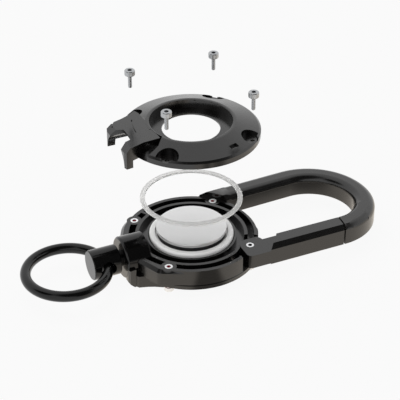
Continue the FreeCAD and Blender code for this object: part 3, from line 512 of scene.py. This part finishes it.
# %% [markdown]
# ## Covers
# Both covers rise to a crest in flats that meet at shallow angles. Those edges are plain to see on the
# real part, so here an edge counts as sharp from 14 degrees on. They could be left to the shading alone,
# but a bevel gives each of them its own thin highlight.

# %% Top and bottom cover
COVER_DEGREES = 14
for node in ("top_cover", "bottom_cover"):
    place_piece(f"{node}_moulding", rounded_copy(node, CRISP, least_turn=COVER_DEGREES), [nylon], node)

# %% [markdown]
# ## Swivel and key ring
# The barrel and the eye are turned pieces with small broken edges. The ring is plain round wire, closed
# and lacquered with its joint hidden. It has no edge to round, so its node's shape is kept and only its
# loose triangles joined.

# %% Barrel, eye and ring
BARREL_EDGE, EYE_EDGE = 0.15, 0.2
place_piece("swivel_barrel_turning", rounded_copy("swivel_barrel", BARREL_EDGE), [lacquer], "swivel_barrel")
place_piece("swivel_eye_turning", rounded_copy("swivel_eye", EYE_EDGE), [lacquer], "swivel_eye")
place_piece("key_ring_wire", joined_copy("key_ring"), [lacquer], "key_ring")

# %% [markdown]
# ## Seal and tag
# The seal is soft, and so are its edges. The tag's shell is moulded with a small radius. The lid is pressed
# from sheet: its upper edge is rolled over and clearly round, and its lower edge is only deburred. One
# width for the whole lid would make it look like a cut disc, so the width depends on the height.

# %% Seal, shell and lid
SEAL_EDGE, SHELL_EDGE, LID_ROLL, LID_EDGE = 0.22, 0.15, 0.35, 0.08
LID_ROLL_HEIGHT = 0.8
lid_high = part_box("tag_battery_lid")[1][2]


def lid_edge_width(place):
    return LID_ROLL if place.z > lid_high - LID_ROLL_HEIGHT * MM else LID_EDGE


place_piece("seal_ring_rubber", rounded_copy("seal_ring", SEAL_EDGE), [silicone], "seal_ring")
place_piece("tag_shell_moulding", rounded_copy("tag_shell", SHELL_EDGE), [shell_white], "tag_shell")
place_piece("battery_lid_pressing", rounded_copy("tag_battery_lid", lid_edge_width), [lid_steel],
            "tag_battery_lid")

# %% [markdown]
# ## Sleeve nuts and pivot
# Three sleeve nuts stand in the frame's bosses, and the fourth sleeve is the gate's pivot. Their bores
# could be pieces of their own, but a face knows where it is: one that lies close to a nut's axis, and
# below its mouth, is in the bore. Those faces get the red compound. The pivot's bore gets the black of
# the tag's tray instead, as painted shade for the dark inside of its hole.

# %% Where the bores are
NUT_RADIUS, NUT_EDGE = 1.8, 0.08
BORE_REACH, BORE_MOUTH, BORE_START = 0.8, 0.1, 1
nut_low, nut_high = (Vector(corner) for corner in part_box("sleeve_nuts"))
nut_out = nut_high.y - NUT_RADIUS * MM
nut_axes = [Vector((tag_x + x * nut_out, y * nut_out, 0)) for x, y in ((-1, 1), (1, 1), (-1, -1))]
pivot_axis = Vector((tag_x + nut_out, -nut_out, 0))


def lined_bores(mesh, axes):
    """Gives the second finish to the bores round the given upright axes."""
    for face in mesh.faces:
        middle = face.calc_center_median()
        near = any((middle.xy - axis.xy).length < BORE_REACH * MM for axis in axes)
        within = nut_low.z + BORE_START * MM < middle.z < nut_high.z - BORE_MOUTH * MM
        face.material_index = int(near and within)
    return mesh


print(f"the nuts and the pivot stand {nut_out / MM:.2f} mm out from the tag's axis, in X and in Y")

# %% Nuts and pivot
place_piece("sleeve_nut_turnings", lined_bores(rounded_copy("sleeve_nuts", NUT_EDGE), nut_axes),
            [nickel, thread_red], "sleeve_nuts")
# The pivot's bore is painted shade: the tray's black stands for the dark inside of its hole.
place_piece("gate_pivot_turning", lined_bores(rounded_copy("gate_pivot", NUT_EDGE), [pivot_axis]),
            [nickel, tray_black], "gate_pivot")

# %% [markdown]
# ## Gate spring
# The spring is wound wire round the pivot. Its lower end rests in the case and its upper end pushes the
# gate, so it winds up when the gate opens. Here it is one stiff piece that stays where it is, so an opening
# gate would cut through its upper end.

# %% Spring
WIRE = 0.5
spring_low, spring_high = (Vector(corner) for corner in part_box("gate_spring"))
place_piece("gate_spring_wire", joined_copy("gate_spring"), [spring_steel], "gate_spring",
            bends=("frame", "gate", (*pivot_axis.xy, spring_low.z + WIRE * MM),
                   (*pivot_axis.xy, spring_high.z - WIRE * MM)))

# %% [markdown]
# ## Cover screws
# The four screws are socket-head cap screws with a knurled head and a fine thread. The CAD screws are
# plain, so these are made anew on their places. A profile is spun about Z. Every other column of the
# head's side then moves inwards as a knurl, and the socket's columns move onto a hexagon. Cutting both
# with booleans would work as well, but leaves slivers. The thread is a small triangle that is spun with a
# rise, so that it winds up the shank. Its crests stay inside the nuts' plain bores.

# %% Spinning a profile
def spun(profile, steps):
    """A closed turned shape from (radius, height) points in millimetres, listed from axis to axis."""
    mesh = bmesh.new()
    verts = [mesh.verts.new((radius * MM, 0, height * MM)) for radius, height in profile]
    edges = [mesh.edges.new(pair) for pair in zip(verts, verts[1:])]
    bmesh.ops.spin(mesh, geom=verts + edges, cent=(0, 0, 0), axis=(0, 0, 1), dvec=(0, 0, 0), angle=math.tau,
                   steps=steps, use_merge=True)
    bmesh.ops.remove_doubles(mesh, verts=mesh.verts, dist=SNAP_MM * MM)
    bmesh.ops.recalc_face_normals(mesh, faces=mesh.faces)
    print(f"spun {len(profile)} points into {len(mesh.faces)} faces")
    return mesh


def set_radius(vert, radius):
    scale = radius * MM / vert.co.xy.length
    vert.co.x *= scale
    vert.co.y *= scale


# %% Profile of a screw that stands on the origin
# All sizes of the screw and its thread are in millimetres.
HEAD_RADIUS, HEAD_HEIGHT, SHANK_RADIUS, SHANK_LENGTH = 1.9, 2.0, 0.7, 5.1
CORE_RADIUS, TIP_CHAMFER, HEAD_CHAMFER = 0.69, 0.2, 0.12
# The head's top edge is a crown. The pair is its middle point, inwards and down from the corner.
CROWN_WIDTH, CROWN_MIDDLE, CROWN_DEPTH = 0.4, (0.22, 0.05), 0.3
# The pair here is how wide and how deep the socket's mouth is chamfered.
SOCKET_RADIUS, SOCKET_DEPTH, SOCKET_LEAD, DRILL_POINT = 0.95, 1.0, (0.1, 0.08), 0.1
head_top = SHANK_LENGTH + HEAD_HEIGHT
socket_floor = head_top - SOCKET_DEPTH
SCREW_PROFILE = [
    (0, 0), (CORE_RADIUS - TIP_CHAMFER, 0), (CORE_RADIUS, TIP_CHAMFER), (CORE_RADIUS, SHANK_LENGTH),
    (HEAD_RADIUS - HEAD_CHAMFER, SHANK_LENGTH), (HEAD_RADIUS, SHANK_LENGTH + HEAD_CHAMFER),
    (HEAD_RADIUS, head_top - CROWN_DEPTH), (HEAD_RADIUS - CROWN_MIDDLE[0], head_top - CROWN_MIDDLE[1]),
    (HEAD_RADIUS - CROWN_WIDTH, head_top), (SOCKET_RADIUS + SOCKET_LEAD[0], head_top),
    (SOCKET_RADIUS, head_top - SOCKET_LEAD[1]), (SOCKET_RADIUS, socket_floor),
    (0, socket_floor - DRILL_POINT)]
print(f"a screw is {head_top:.1f} mm long, and its profile has {len(SCREW_PROFILE)} points")

# %% Its knurl and its socket
KNURL_DEPTH, SOCKET_FLAT, COLUMNS = 0.09, 0.75, 48
HEX_TURN = math.tau / 6
SAME = 0.01


def socket_screw():
    mesh = spun(SCREW_PROFILE, COLUMNS)
    for vert in mesh.verts:
        radius, height = vert.co.xy.length / MM, vert.co.z / MM
        angle = math.atan2(vert.co.y, vert.co.x)
        if abs(radius - HEAD_RADIUS) < SAME and round(angle / math.tau * COLUMNS) % 2:
            set_radius(vert, HEAD_RADIUS - KNURL_DEPTH)
        if abs(radius - SOCKET_RADIUS) < SAME and height > socket_floor - SAME:
            set_radius(vert, SOCKET_FLAT / math.cos(angle % HEX_TURN - HEX_TURN / 2))
    print(f"a head with {COLUMNS // 2} knurls and a socket {2 * SOCKET_FLAT} mm wide")
    return mesh


# %% Its thread
PITCH, TURNS, TURN_STEPS = 0.3, 15, 20
RIDGE_START, RIDGE_RISE, ROOT, CREST = 0.2, 0.12, 0.03, 0.04


def thread_ridge():
    mesh = bmesh.new()
    corners = [mesh.verts.new((radius * MM, 0, height * MM)) for radius, height in (
        (SHANK_RADIUS - ROOT, RIDGE_START), (SHANK_RADIUS + CREST, RIDGE_START + RIDGE_RISE),
        (SHANK_RADIUS - ROOT, RIDGE_START + 2 * RIDGE_RISE))]
    edges = [mesh.edges.new((corners[i], corners[i - 1])) for i in range(3)]
    bmesh.ops.spin(mesh, geom=corners + edges, cent=(0, 0, 0), axis=(0, 0, 1),
                   dvec=(0, 0, PITCH * MM / TURN_STEPS), angle=math.tau * TURNS, steps=TURN_STEPS * TURNS,
                   use_merge=False)
    bmesh.ops.holes_fill(mesh, edges=[edge for edge in mesh.edges if edge.is_boundary], sides=3)
    bmesh.ops.recalc_face_normals(mesh, faces=mesh.faces)
    print(f"thread of {TURNS} turns, {PITCH} mm apart")
    return mesh


# %% Four screws on their places
screw_low, screw_high = (Vector(corner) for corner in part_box("cover_screws"))
screw_out = screw_high.y - HEAD_RADIUS * MM
all_screws = bmesh.new()
for part in (socket_screw(), thread_ridge()):
    single = bpy.data.meshes.new("one_screw_part")
    part.to_mesh(single)
    part.free()
    for x, y in ((-1, 1), (1, 1), (-1, -1), (1, -1)):
        before = len(all_screws.verts)
        all_screws.from_mesh(single)
        all_screws.verts.ensure_lookup_table()
        bmesh.ops.translate(all_screws, verts=all_screws.verts[before:],
                            vec=(tag_x + x * screw_out, y * screw_out, screw_low.z))
    bpy.data.meshes.remove(single)
place_piece("socket_head_screws", all_screws, [stainless], "cover_screws")

# %% [markdown]
# ## What the case hides
# The washer and the works of the tag could be left grey, because nobody sees them here. They keep their
# CAD shapes but get their own finishes, so the part looks right when it is opened further or cut away.

# %% Finishes of the hidden nodes
for node, finish in (
        ("swivel_washer", spring_steel), ("tag_carrier", tray_black), ("coin_cell", cell_can),
        ("tag_board", board_green), ("tag_sounder", sounder_metal), ("battery_contacts", contact_brass)):
    data = frame["nodes"][node].data
    data.materials.clear()
    data.materials.append(finish)
    print(node, "has", finish.name)

# %% [markdown]
# ## What the table shows in mirrors
# Satin black plastic mirrors whatever lies before it, and much of the table before it lies in the part's own
# shade. Black sheets laid round it, out of sight, would darken the mirrored table too, but as objects here
# the camera would see them. So the shade is painted: dark patches of the table that only mirror rays meet,
# in front of the case, inside the hook, and further out in front of the lifted cover. Elsewhere mirrors see
# the table a little brighter than white, and near the part a slightly warm painted reflection.

# %% Painted shade and warm painted reflection, seen only in mirrors
# Each edge is an axis, and where along it a patch starts and where it is full, in millimetres.
BEFORE_CASE = (("X", -19, -14), ("X", 5, -1), ("Y", -20, -28))
INSIDE_HOOK = (("X", 22, 30), ("X", 72, 66), ("Y", 7, -3), ("Y", -17, -15))
BEFORE_COVER = (("X", 10, 20), ("X", 52, 42), ("Y", -75, -90))
# The patches are painted shade on the table, seen only in mirror rays.
PAINTED_SHADE_PATCHES = (BEFORE_CASE, INSIDE_HOOK, BEFORE_COVER)
# A slightly warm painted reflection of the table near the part, seen only in mirror rays.
PAINTED_WARM_REFLECTION = (("Y", 50, 20), ("X", -50, -35))


def patch(tree, spot, edges):
    """Is 1 on a patch of the table and 0 off it."""
    inside = None
    for axis, start, full in edges:
        rise = add_node(tree, "ShaderNodeMapRange", {"Value": spot[axis]},
                        {"From Min": start * MM, "From Max": full * MM},
                        interpolation_type="SMOOTHSTEP").outputs["Result"]
        inside = rise if inside is None else add_node(
            tree, "ShaderNodeMath", {0: inside, 1: rise}, operation="MULTIPLY").outputs[0]
    return inside


print(f"{len(PAINTED_SHADE_PATCHES)} dark shade_patches on the table")

# %% How mirrors see the table
MIRROR_BRIGHT, MIRROR_DARK = 1.2, 0.35


def table_strength(tree, spot, mirror_ray):
    """Plain white, but in a mirror brighter, with patches of painted shade."""
    shade = None
    for edges in PAINTED_SHADE_PATCHES:
        shade_patch = patch(tree, spot, edges)
        shade = shade_patch if shade is None else add_node(
            tree, "ShaderNodeMath", {0: shade, 1: shade_patch}, operation="MAXIMUM").outputs[0]
    in_mirror = add_node(tree, "ShaderNodeMapRange", {"Value": shade},
                         {"To Min": MIRROR_BRIGHT, "To Max": MIRROR_DARK}).outputs["Result"]
    return add_node(tree, "ShaderNodeMix", {"Factor": mirror_ray, "B": in_mirror}, {"A": 1.0},
                    data_type="FLOAT").outputs["Result"]


def table_tint(tree, spot, mirror_ray):
    """Neutral, but in a mirror a slightly warm painted reflection near the part."""
    warm = add_node(tree, "ShaderNodeMath", {0: patch(tree, spot, PAINTED_WARM_REFLECTION), 1: mirror_ray},
                    operation="MULTIPLY").outputs[0]
    return add_node(tree, "ShaderNodeMix", {"Factor": warm},
                    {"A": linear("#fafafa"), "B": linear("#fff6ea")}, data_type="RGBA").outputs["Result"]


print(f"mirrors see the table at {MIRROR_BRIGHT} times white and the shade_patches at {MIRROR_DARK}")

# %% [markdown]
# ## Table
# The photo's background is an even near-white with hardly a shadow. A paper-white floor lit to that level
# would need so much light that the tag would clip. So the floor glows by itself where the camera, a
# mirror or the clear seal looks at it, and stays plain paper for all other light. A small share of paper
# is left in the mix, and keeps a faint shadow.

# %% Paper that glows where it is looked at
GLOW_SHARE = 0.97


def white_table():
    finish, tree, _, place = new_finish("white_paper_table")
    rays = add_node(tree, "ShaderNodeLightPath").outputs
    spot = add_node(tree, "ShaderNodeSeparateXYZ", {"Vector": place}).outputs
    seen = rays["Is Camera Ray"]
    for ray in ("Is Glossy Ray", "Is Transmission Ray"):
        seen = add_node(tree, "ShaderNodeMath", {0: seen, 1: rays[ray]}, operation="MAXIMUM").outputs[0]
    share = add_node(tree, "ShaderNodeMath", {0: seen}, {1: GLOW_SHARE}, operation="MULTIPLY")
    paper = add_node(tree, "ShaderNodeBsdfDiffuse", values={"Color": linear("#f4f4f3")})
    glow = add_node(tree, "ShaderNodeEmission", {
        "Color": table_tint(tree, spot, rays["Is Glossy Ray"]),
        "Strength": table_strength(tree, spot, rays["Is Glossy Ray"])})
    mix = add_node(tree, "ShaderNodeMixShader",
                   {0: share.outputs[0], 1: paper.outputs["BSDF"], 2: glow.outputs["Emission"]})
    tree.links.new(mix.outputs["Shader"], tree.nodes["Material Output"].inputs["Surface"])
    return finish


# %% The table itself
TABLE_HALF_WIDTH, TABLE_DROP_MM = 3.0, 0.1
table_mesh = bmesh.new()
bmesh.ops.create_grid(table_mesh, x_segments=1, y_segments=1, size=TABLE_HALF_WIDTH,
                      matrix=Matrix.Translation((0, 0, -TABLE_DROP_MM * MM)))
table_data = bpy.data.meshes.new("table")
table_mesh.to_mesh(table_data)
table_mesh.free()
table_data.materials.append(white_table())
table = bpy.data.objects.new("table", table_data)
bpy.context.scene.collection.objects.link(table)
table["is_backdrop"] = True
print("table of", tuple(round(length, 1) for length in table.dimensions), "m")

# %% [markdown]
# ## Studio light
# On the black case nearly all that is seen is reflection, so the studio's walls matter more than its
# lamps. Many small lamps could draw the reflections, but they would also light the pale pieces unevenly.
# So the world has bright walls and a bright ceiling for mirror rays only, with three dark panels, as of
# black cloth: one high on the camera's side, one low in front and one high at the left. Faces that mirror
# a panel look almost black, and the others grey. All other light from the world is even and dimmer. One
# large softbox overhead gives the pale pieces their shading.

# %% Dark panels
# Each panel is the direction to its middle, and how closely a ray must point there to meet its edge and
# its full dark, as cosines.
DARK_PANELS = (
    ((0.06, -0.54, 0.84), 0.72, 0.92),
    ((0.31, -0.87, 0.38), 0.88, 0.97),
    ((-0.72, -0.02, 0.69), 0.9, 0.97))
world = bpy.data.worlds.new("studio")
bpy.context.scene.world = world
world.use_nodes = True
tree = world.node_tree
background = tree.nodes["Background"]
background.inputs["Color"].default_value = linear("#ffffff")
direction = add_node(tree, "ShaderNodeTexCoord").outputs["Generated"]
dark = None
for heading, edge, full in DARK_PANELS:
    towards = add_node(tree, "ShaderNodeVectorMath", {0: direction}, {1: heading}, operation="DOT_PRODUCT")
    panel = add_node(tree, "ShaderNodeMapRange", {"Value": towards.outputs["Value"]},
                     {"From Min": edge, "From Max": full},
                     interpolation_type="SMOOTHSTEP").outputs["Result"]
    dark = panel if dark is None else add_node(
        tree, "ShaderNodeMath", {0: dark, 1: panel}, operation="MAXIMUM").outputs[0]
print(f"{len(DARK_PANELS)} dark panels")

# %% Walls for mirrors, backdrop for the camera, even light for the rest
WALL_BRIGHT, WALL_DARK, ROOM_LIGHT, BACKDROP = 1.05, 0.06, 0.62, 0.96
walls = add_node(tree, "ShaderNodeMapRange", {"Value": dark}, {"To Min": WALL_BRIGHT, "To Max": WALL_DARK})
rays = add_node(tree, "ShaderNodeLightPath").outputs
mirrored = add_node(tree, "ShaderNodeMix", {"Factor": rays["Is Glossy Ray"], "B": walls.outputs["Result"]},
                    {"A": ROOM_LIGHT}, data_type="FLOAT")
seen = add_node(tree, "ShaderNodeMix", {"Factor": rays["Is Camera Ray"], "A": mirrored.outputs["Result"]},
                {"B": BACKDROP}, data_type="FLOAT")
tree.links.new(seen.outputs["Result"], background.inputs["Strength"])
print(f"walls of strength {WALL_BRIGHT} in mirrors, {ROOM_LIGHT} for other light")

# %% Softbox
SOFTBOX_WIDTH, SOFTBOX_WATTS, SOFTBOX_PLACE = 1.0, 8, (-0.3, 0.2, 1.1)
softbox = bpy.data.lights.new("overhead_softbox", "AREA")
softbox.size = SOFTBOX_WIDTH
softbox.energy = SOFTBOX_WATTS
lamp = bpy.data.objects.new("overhead_softbox", softbox)
lamp.location = SOFTBOX_PLACE
lamp.rotation_euler = (-lamp.location).to_track_quat("-Z", "Y").to_euler()
lamp.visible_glossy = False
bpy.context.scene.collection.objects.link(lamp)
bpy.context.scene.view_settings.view_transform = "Standard"
print(f"softbox of {softbox.energy:.0f} W at {lamp.location.length:.2f} m")

# %% [markdown]
# ## Size
# The looks are meant to leave the part's size as it is, so the box of the dressed part is printed beside the
# CAD box.

# %% Compare the boxes and finish
visual_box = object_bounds()
for name, (low, high) in (("CAD", cad_box), ("visual", visual_box)):
    print(name, [round((b - a) / MM, 2) for a, b in zip(low, high)], "mm")
